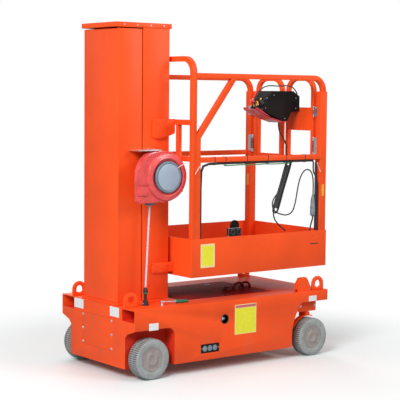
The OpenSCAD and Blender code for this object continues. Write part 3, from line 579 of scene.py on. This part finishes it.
foil("plate_side_large", "chassis", (704, -380, 193), (866, -380, 368), "y", -1, plate_cream, plate_yellow, 4, head=18)
foil("plate_side_rear", "chassis", (95, -380, 279), (159, -380, 319), "y", -1, plate_white, plate_white, 3)
foil("plate_side_front", "chassis", (1282, -380, 337), (1345, -380, 370), "y", -1, plate_white, plate_white, 3)
foil("plate_rear_right", "chassis", (0, -224, 340), (0, -132, 395), "x", -1, plate_white, plate_white, 4)
foil("plate_rear_left", "chassis", (0, 146, 340), (0, 245, 395), "x", -1, plate_white, plate_white, 4)
foil("plate_tub", "platform", (462, -364, 600), (564, -364, 736), "y", -1, plate_cream, plate_yellow, 12)
foil("strip_post_near", "platform", (1390, -360, 976), (1410, -360, 1046), "y", -1, amber_strip, amber_strip, 2)
foil("strip_post_far", "platform", (1376, 322, 1004), (1376, 340, 1076), "x", -1, amber_strip, amber_strip, 2)

# Chassis: rear panel bolts, hole ring, sockets, deck cover, hoses, valve dome, bracket and lever
bm = bmesh.new()
for y in (-150, 150):
    for z in (152, 232, 312):
        hex_bolt(bm, (0, y, z), (-1, 0, 0), 10, 4)
piece("rear_panel_bolts", "chassis", bm, [bright_zinc])

bm = bmesh.new()
turned(bm, (631, -372, 293), (0, -1, 0), [(27.9, 0), (27.9, 9), (26.8, 9.6), (25.4, 9), (25, 7.8), (25, 0), (27.9, 0)], 40)
turned(bm, (631, -340, 293), (0, -1, 0), [(0, 0), (30, 0), (30, 3), (14, 3), (13, 18), (10, 20), (0, 20)], 32, 1)
slab(bm, (612, -362, 290), (650, -356, 297), 1)
piece("skirt_hole_ring", "chassis", bm, [soft_black, bright_zinc])

bm = bmesh.new()
slab(bm, (458.5, -380.6, 110.5), (589.5, -376.5, 161.5))
for x in (486, 522, 558):
    turned(bm, (x, -380.4, 136), (0, -1, 0), [(16.5, 0), (16.5, 1.2), (15, 2), (13, 2), (12.4, 0.4), (0, 0.4)], 28, 1)
    for dx, dz in ((-4, 3), (4, 3), (0, -4)):
        rod(bm, (x + dx, -380.6, 136 + dz), (x + dx, -382, 136 + dz), 1.6, sides=10, finish=2)
for x in (465, 583):
    rod(bm, (x, -380.4, 136), (x, -381.6, 136), 3, sides=12, finish=2)
sockets = piece("socket_plate", "chassis", bm, [box_black, grey_plastic, bright_zinc], 0.4)
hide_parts("socket_panel")

bm = bmesh.new()
slab(bm, (430.5, -239.5, 394), (1099.5, 239.5, 398.4))
for low, high in (((430.5, -239.5, 398), (760, 239.5, 399.6)), ((764, -239.5, 398), (1099.5, 239.5, 399.6))):
    slab(bm, low, high)
for x in (452, 742, 782, 1078):
    for y in (-218, 218):
        rod(bm, (x, y, 399), (x, y, 401.4), 7, 6, sides=20, finish=1)
for x in (560, 940):
    turned(bm, (x, 190, 399.4), (0, 0, 1), [(18, 0), (18, 1.4), (15, 1.8), (12, 0.4), (0, 0.4)], 28, 1)
# The cover plates take the dark maroon as painted shade of the orange deck under the platform.
cover = piece("deck_cover_plates", "chassis", bm, [deck_shade_paint, spring_steel], 0.8)
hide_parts("deck_cover")

for k, x in enumerate((990, 1042)):
    half = [(x - 37 * cos(radians(a)), -60 + 5 * sin(radians(a * 2)), 399 + 37 * sin(radians(a)))
            for a in range(0, 181, 15)]
    tube("hose_loop_%d" % k, "chassis", half, 7, hose_red)
bm = bmesh.new()
for x in (953, 1005, 1027, 1079):
    turned(bm, (x, -60, 399), (0, 0, 1), [(0, 0), (11, 0), (11, 8), (9.5, 9), (9.5, 16), (8, 18), (0, 18)], 6)
turned(bm, (900, -60, 399), (0, 0, 1), [(0, 0), (34, 0), (34, 4), (28, 6), (27, 17), (22, 23), (10, 25), (0, 25)], 40)
for k in range(4):
    hex_bolt(bm, (900 + 31 * cos(k * pi / 2 + 0.8), -60 + 31 * sin(k * pi / 2 + 0.8), 403), (0, 0, 1), 5, 3)
outline(bm, [(1204, 400), (1204, 446), (1228, 480), (1276, 480), (1288, 464), (1308, 421), (1308, 400)], -366, -361, 1)
outline(bm, [(1204, 400), (1204, 446), (1228, 480), (1276, 480), (1288, 464), (1308, 421), (1308, 400)], -339, -334, 1)
outline(bm, [(1202, 412), (1202, 447), (1227, 483), (1277, 483), (1290, 465), (1300, 444), (1296, 442), (1286, 462),
             (1275, 478), (1229, 478), (1207, 445), (1207, 412)], -361, -339, 1)
rod(bm, (1252, -362, 448), (1252, -338, 448), 18, finish=2)
fittings = piece("deck_parts", "chassis", bm, [hose_red, orange, soft_black], 1.0)
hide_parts("deck_fittings")

bm = bmesh.new()
slab(bm, (222, -316, 400), (242, -296, 404))
outline(bm, [(226, 403), (226, 424), (231, 428), (237, 428), (240, 423), (240, 403)], -310, -302)
rod(bm, (232, -314, 420), (232, -298, 420), 3.6, sides=16)
rod(bm, (228, -306, 420), (345, -298, 412), 5)
turned(bm, (338, -298.5, 412.6), (117, 8, -8), [(0, -2), (8, -2), (10.5, 4), (11, 12), (8.5, 20), (10, 32), (9, 48),
       (9.8, 62), (8.6, 78), (6, 90), (0, 92)], 28, 1)
lever = piece("lever_with_grip", "chassis", bm, [bright_zinc, grip_green], 0.6)
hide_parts("pump_lever")

# Steering: kingpin nuts and the flange bolts
bm = bmesh.new()
for y in (-278, 278):
    hex_bolt(bm, (1319, y, 328.8), (0, 0, 1), 12, 5)
    for x in (1262, 1376):
        hex_bolt(bm, (x, y + (48 if y > 0 else -48), 300), (0, 1 if y > 0 else -1, 0), 10, 5)
piece("steering_bolts", "chassis", bm, [bright_zinc])

# Mast: cap bolts and bolts of the carriage arms; on each side of the tub, small bolts and a short black strip
bm = bmesh.new()
for y in (-178.4, 178.4):
    sign = -1 if y < 0 else 1
    for x in (60, 150, 240, 330):
        rod(bm, (x, y - sign, 1969), (x, y + sign * 1.4, 1969), 4.5, 3.5, sides=16)
piece("cap_bolts", "platform", bm, [bright_zinc])
bm = bmesh.new()
for sign in (-1, 1):
    for x in (275, 345):
        for z in (583, 608):
            hex_bolt(bm, (x, sign * 194, z), (0, sign, 0), 9, 4)
    for x, z in ((275, 1362), (275, 1424), (340, 1400)):
        hex_bolt(bm, (x, sign * 194, z), (0, sign, 0), 9, 4)
    for x, z in ((1316, 646), (1316, 738), (1366, 650), (1366, 742)):
        hex_bolt(bm, (x, sign * 364, z), (0, sign, 0), 6, 2.5)
    slab(bm, (1300, sign * 364 - 0.3, 684), (1364, sign * 364 + 0.3, 690), 1)
piece("platform_bolts", "platform", bm, [orange, soft_black])

# Hinges: the moving barrel's spring and the leaf's bolts
for sign, gate in ((-1, "gate_right"), (1, "gate_left")):
    bm = bmesh.new()
    for low, length in ((1222, 108), (1458, 60)):
        coil = length - 42
        turns = int(coil / 6)
        for k in range(turns):
            turned(bm, (1379.5, sign * 293, low + 21.5 + 6 * k), (0, 0, 1),
                   [(7.9, 0), (9.4, 0.8), (9.9, 2.4), (9.4, 4), (7.9, 4.8)], 24)
    piece("hinge_springs_" + gate, gate, bm, [spring_steel])
    bm = bmesh.new()
    for low, length in ((1222, 108), (1458, 60)):
        for z in (low + 8, low + length - 8):
            hex_bolt(bm, (1373, sign * 314, z), (-1, 0, 0), 6, 3)
        for z in (low, low + length):
            rod(bm, (1379.5, sign * 293, z - 2), (1379.5, sign * 293, z + 2), 6, 6, sides=20)
    piece("hinge_bolts_" + gate, "platform", bm, [bright_zinc])

# Control box: a folded case with a sloping panel, its buttons, stop, joystick and scoop
box_x, box_z, out_y, in_y = 1387.5, 1427, -150, -30
case = [(-301.5, 68), (-254.5, 147), (-223.5, 184), (-52.5, 184), (0, 153), (0, 62), (-67.5, 55), (-97.5, 0), (-138.5, 0)]
bm = bmesh.new()
outline(bm, [(box_x + x, box_z + z) for x, z in case], out_y, in_y)
for y in (out_y - 0.9, in_y + 0.9):
    for x, z in ((-30, 140), (-30, 78), (-210, 160), (-120, 16), (-275, 80)):
        sign = -1 if y < -90 else 1
        rod(bm, (box_x + x, y - sign, box_z + z), (box_x + x, y + sign * 1.2, box_z + z), 3.4, 2.6, sides=14, finish=1)
case_piece = piece("control_case", "gate_right", bm, [box_black, bright_zinc], 3.0, 3)
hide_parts("control_box")

tilt = atan2(79, 47)
face_mid = ((-301.5 - 254.5) / 2, (68 + 147) / 2)
normal = (-sin(tilt), 0, cos(tilt))
uphill = (cos(tilt), 0, sin(tilt))


def on_panel(y, rise=0.0, proud=0.0):
    """A place on the sloping panel: across, up the slope and out from it."""
    return (box_x + face_mid[0] + uphill[0] * rise + normal[0] * proud, y,
            box_z + face_mid[1] + uphill[2] * rise + normal[2] * proud)


bm = bmesh.new()
turned(bm, on_panel(-62, 0, 0.1), normal, [(0, 0), (24, 0), (24, 2), (21, 3), (0, 3)], 40, 1)
turned(bm, on_panel(-62, 0, 3), normal, [(0, 0), (12, 0), (12, 17), (11, 19), (17.5, 19.5), (18, 23), (17.5, 28),
       (14, 31.5), (7, 32.4), (0, 32.6)], 40)
stop = piece("stop_button", "gate_right", bm, [stop_red, stop_yellow])
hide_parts("emergency_stop")
bm = bmesh.new()
turned(bm, on_panel(-118, 0, 0.1), normal, [(0, 0), (20, 0), (20, 3), (17, 4), (18, 7), (14.5, 9), (15, 12), (11.5, 14),
       (12, 17), (8, 20), (6.5, 26), (5.5, 30), (5.5, 42), (9, 45), (12.5, 50), (13, 56), (10, 62), (5, 64.5),
       (0, 65)], 36)
stick = piece("joystick_with_boot", "gate_right", bm, [soft_black])
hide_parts("joystick")
bm = bmesh.new()
for y, rise, finish in ((-90, 30, 0), (-90, 12, 1), (-90, -8, 2), (-44, 32, 3), (-138, 30, 3), (-90, -30, 3)):
    turned(bm, on_panel(y, rise, 0.1), normal, [(0, 0), (8, 0), (8, 2), (6.4, 2.6), (6, 5.5), (5, 6.4), (0, 6.6)], 24, finish)
for y in (-142, -38):
    for rise in (-38, 38):
        turned(bm, on_panel(y, rise, 0.1), normal, [(0, 0), (3, 0), (2.6, 1), (0, 1.2)], 14, 4)
piece("panel_buttons", "gate_right", bm, [stop_yellow, grip_green, tie_white, soft_black, bright_zinc])

bm = bmesh.new()
scoop_low = [(-97.5, -9), (-147.5, -9), (-219.5, 12), (-303.5, 45), (-351.5, 69)]
scoop_high = [(-347.5, 75), (-301.5, 53), (-217.5, 20), (-138.5, -1), (-97.5, -1)]
outline(bm, [(box_x + x, box_z + z) for x, z in scoop_low + scoop_high], out_y, in_y)
for y in (out_y, in_y - 3):
    outline(bm, [(box_x + x, box_z + z) for x, z in
                 ((-219.5, 14), (-303.5, 47), (-350.5, 71), (-352, 82), (-340, 84), (-302.5, 66), (-225, 22))], y, y + 3)
guard = piece("scoop_guard", "gate_right", bm, [scoop_red], 1.2)
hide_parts("box_guard")
wire = tube("panel_hoop", "gate_right", [(box_x + x, -146, box_z + z) for x, z in (
    (-16.5, 167.2), (-42.5, 198), (-77.5, 214), (-177.5, 214), (-267.5, 212), (-312.5, 191), (-347.5, 161),
    (-357.5, 118), (-348.5, 72))], 3.5, soft_black)
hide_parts("box_guard")

# Power outlet on the toe board: a folded bracket, its body and an open round cap
bm = bmesh.new()
outline(bm, [(668, 767), (768, 767), (768, 771), (762, 771), (760, 815), (676, 815), (674, 771), (668, 771)], -350, -347)
slab(bm, (678, -363, 770), (758, -330, 813), 1)
for x in (696, 740):
    turned(bm, (x, -352, 793), (0, -1, 0), [(0, 0), (16, 0), (16, 10.6), (14, 11.8), (13, 11.8), (12, 4), (0, 4)], 28, 2)
turned(bm, (706, -334, 803), (0, 1, 0), [(0, 0), (12, 0), (12, 18), (9, 20), (9, 26), (0, 26)], 24, 1)
turned(bm, (748, -307, 824), (0, -1, 0), [(0, 0), (30, 0), (33, 3), (33, 8), (31, 10), (29, 10), (28, 4), (0, 4)], 40, 1)
slab(bm, (736, -318, 800), (760, -308, 826), 1)
outlet = piece("outlet_with_cap", "platform", bm, [bright_zinc, box_black, spring_steel], 0.8)
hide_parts("power_outlet")

# Ties and straps that hold the harness, and its green bonding strap
bm = bmesh.new()
for x in (560, 640, 800, 960, 1100, 1250):
    for low, high in (((x, -360.8, 1184), (x + 5, -359.8, 1232)), ((x, -360.8, 1230.2), (x + 5, -329, 1231.2)),
                      ((x, -360.8, 1184), (x + 5, -336, 1185))):
        slab(bm, low, high)
piece("harness_ties", "platform", bm, [soft_black], 0.2, 1)
green = [(x, -347 + 2 * sin(x / 31), 1181.5 - 2.5 * abs(sin(x / 60))) for x in range(640, 1160, 20)]
tube("bonding_strap", "platform", green, 3.2, strap_green)
tube("hank_wrap", "platform", [in_hank(0, -328.5, down) for down in (14, 60, 120, 180, 240, 282)], 11.5, soft_black)
for k, (across, y, down) in enumerate(((0, -329, 40), (0, -329, 232))):
    band = [in_hank(22 * cos(radians(a)), y + 9 * sin(radians(a)), down) for a in range(0, 361, 30)]
    tube("hank_band_%d" % k, "platform", band, 2.2, soft_black)
tube("hank_hanger", "platform", [(1150, -329, 1196), (1136, -345, 1186), (1148, -352, 1232), (1160, -345, 1186),
                                 (1152, -331, 1192)], 2.0, soft_black)
tube("white_tie_end", "platform", [(468, -352, 1188), (452, -362, 1178), (430, -368, 1158), (412, -372, 1138)], 1.8,
     tie_white)
tube("white_tie_post", "platform", [(1356, -352, 1182), (1368, -356, 1150), (1380, -361, 1122)], 1.6, tie_white)
tube("thick_post_lead", "platform", [(1360, -337, 1180), (1361, -336, 1140), (1362, -335, 1090), (1362, -335, 980),
     (1362, -335, 800), (1361, -335, 640)], 6.5, soft_black)

# Cable reel: a round case with a shallow boxy mouth side, raised ring, ridges and a pale disc
near = -316
drum = (256, 1126, 142)
bm = bmesh.new()
circle = [(drum[0] + drum[2] * sin(radians(a)), drum[1] + drum[2] * cos(radians(a))) for a in range(0, 360, 8)]
outline(bm, circle, -205, near + 12)
guide = outline(bm, [(256, 981), (78, 981), (66, 992), (61, 1050), (60, 1110), (64, 1162), (80, 1196), (112, 1230),
                     (150, 1252), (200, 1264), (256, 1266)], -206, near + 10)
for v in {v for f in guide for v in f.verts}:
    if v.co.y > -0.21 and v.co.x < at(256, 0, 0).x:
        v.co.y -= (at(256, 0, 0).x - v.co.x) * 0.38
turned(bm, (262, near + 14, 1123), (0, -1, 0), [(92, 0), (134, 0), (134, 9), (130, 15), (118, 17), (114, 20),
       (107, 21), (100, 17), (97, 9), (92, 9)], 96)
for low, high in (((66, near + 4, 1082), (132, near + 12, 1172)), ((68, near + 4, 1024), (128, near + 12, 1066))):
    slab(bm, low, high)
for x, z in ((80, 998), (128, 1222), (206, 992), (352, 1218), (366, 1042)):
    rod(bm, (x, near + 13, z), (x, near + 5, z), 7, 6, sides=20)
    rod(bm, (x, near + 6, z), (x, near + 4.4, z), 3.4, sides=6, finish=1)
housing = piece("reel_case", "platform", bm, [reel_red, spring_steel], 4.0, 3)
bm = bmesh.new()
turned(bm, (185, -251, 962), (0, 0, 1), [(8, 0), (15, 0), (16, 3), (16, 9), (14, 12), (14, 19), (8, 19), (8, 0)], 32)
slab(bm, (156, -272, 966), (214, -234, 972))
slab(bm, (160, -270, 972), (210, -232, 982))
mouth = piece("reel_mouth", "platform", bm, [grey_plastic], 1.0)
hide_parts("reel_housing")
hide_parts("reel_housing")
bm = bmesh.new()
turned(bm, (262, near - 1, 1123), (0, -1, 0), [(0, 0), (89, 0), (89, 8), (86, 12.4), (79, 13), (77, 11), (0, 11)], 80, 1)
turned(bm, (262, near - 12, 1123), (0, -1, 0), [(0, 0), (75, 0), (75, 1.2), (73, 1.8), (0, 2.6)], 80, 0)
disc = piece("reel_disc", "platform", bm, [disc_blue, disc_rim])
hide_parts("reel_face")
bm = bmesh.new()
slab(bm, (200, -206, 1068), (300, -175.8, 1188))
outline(bm, [(96, 1268), (196, 1268), (262, 1268), (262, 1273), (250, 1276), (180, 1276), (104, 1273)], -262, -175.8)
for x in (215, 285):
    for z in (1082, 1174):
        hex_bolt(bm, (x, -205.5, z), (0, -1, 0), 9, 3)
for y in (-246, -192):
    hex_bolt(bm, (214, y, 1276), (0, 0, 1), 8, 4)
holder = piece("reel_holder", "platform", bm, [bright_zinc], 0.8)
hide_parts("reel_bracket")
tube("white_tie_reel", "platform", [(318, -331, 1172), (336, -335, 1184), (360, -338, 1196), (384, -340, 1200)], 1.8,
     tie_white)

# The reel's cable: four straight lengths from the gland up to the reel's mouth, freed from any body and baked in place
low_end, high_end = Vector((160, -251.04, 500.5)), Vector((185, -251.04, 961.5))
for k in range(4):
    a, b = low_end.lerp(high_end, k / 4), low_end.lerp(high_end, (k + 1) / 4)
    bm = bmesh.new()
    turned(bm, tuple(a), tuple(b - a), [(0, 0)] + [(5.5, (b - a).length * j / 12) for j in range(13)]
           + [(0, (b - a).length)], 16)
    length = piece("reel_cable_length_%d" % k, "chassis", bm, [cable_pale])
    length.parent = None
    del length["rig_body"]
    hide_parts("reel_cable")
    tuple(at(*a))
    tuple(at(*b))
    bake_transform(length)

bm = bmesh.new()
turned(bm, (160, -251, 400), (0, 0, 1), [(0, 0), (20, 0), (20, 5), (16, 7), (16, 24), (13, 27), (9, 29), (9, 62), (12, 64),
       (13.4, 70), (13.4, 88), (11, 96), (6, 100), (0, 100)], 32)
rod(bm, (138, -251, 410), (146, -251, 410), 5, sides=6, finish=1)
turned(bm, (160, -251, 466), (0, 0, 1), [(13, 0), (14.4, 1), (14.4, 6), (13, 7)], 28, 2)
fitting = piece("cable_gland", "chassis", bm, [soft_black, bright_zinc, grip_green], 0.5)
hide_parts("cable_fitting")

# Floor, pale background and soft light
floor_finish = Finish("pale_floor", (0.9, 0.94, 0.94), roughness=0.9)
seen = floor_finish.node("ShaderNodeLightPath")
floor_finish.put("Base Color", floor_finish.mix(seen, (0.42, 0.52, 0.53, 1), (0.84, 0.88, 0.88, 1)))
shade = Value(floor_finish, floor_finish.shader.outputs[0])
white = floor_finish.node("ShaderNodeEmission", None, {"Color": (1, 1, 1, 1), "Strength": 1.0})
lift = floor_finish.node("ShaderNodeEmission", None, {"Color": (1, 1, 1, 1), "Strength": 0.02})
reach = floor_finish.node("ShaderNodeVectorMath", {"operation": "LENGTH"}, {0: floor_finish.place()}, output=1)
far = floor_finish.part_of(reach, 1.0, 2.2)
near_floor = floor_finish.node("ShaderNodeAddShader", None, {0: shade, 1: lift})
plain = floor_finish.node("ShaderNodeMixShader", None, {0: seen * far, 1: near_floor, 2: white})
floor_finish.tree.links.new(plain.socket, floor_finish.tree.nodes["Material Output"].inputs["Surface"])
bm = bmesh.new()
bmesh.ops.create_grid(bm, x_segments=8, y_segments=8, size=60)
mesh = bpy.data.meshes.new("floor")
bm.to_mesh(mesh)
bm.free()
mesh.materials.append(floor_finish.material)
floor = bpy.data.objects.new("floor", mesh)
scene.collection.objects.link(floor)

world = bpy.data.worlds.new("studio")
world.use_nodes = True
scene.world = world
air = Finish.__new__(Finish)
air.tree = world.node_tree
paths = air.tree.nodes.new("ShaderNodeLightPath")
camera_ray = Value(air, paths.outputs["Is Camera Ray"])
mirror_ray = Value(air, paths.outputs["Is Glossy Ray"])
through_ray = Value(air, paths.outputs["Is Transmission Ray"])
open_sky = camera_ray + through_ray
strength = open_sky + (1 - open_sky) * (mirror_ray * 0.6 + (1 - mirror_ray) * 0.22)
air.tree.links.new(strength.socket, air.tree.nodes["Background"].inputs["Strength"])
air.tree.nodes["Background"].inputs["Color"].default_value = (1, 1, 1, 1)


def soft_lamp(name, place, power, size, aim=(0, 0, 0.9)):
    lamp = bpy.data.lights.new(name, "AREA")
    lamp.energy, lamp.size, lamp.shape = power, size, "DISK"
    made = bpy.data.objects.new(name, lamp)
    made.matrix_world = Matrix.Translation(place) @ (Vector(place) - Vector(aim)).to_track_quat("Z", "Y").to_matrix().to_4x4()
    scene.collection.objects.link(made)


soft_lamp("key", (-5.5, -3.2, 4.6), 430, 3.2)
soft_lamp("fill", (2.8, -6.0, 4.2), 165, 3.0)
soft_lamp("back", (2.5, 6.5, 4.5), 120, 3.5)
soft_lamp("top", (0.2, 0.4, 7.0), 125, 4.0)
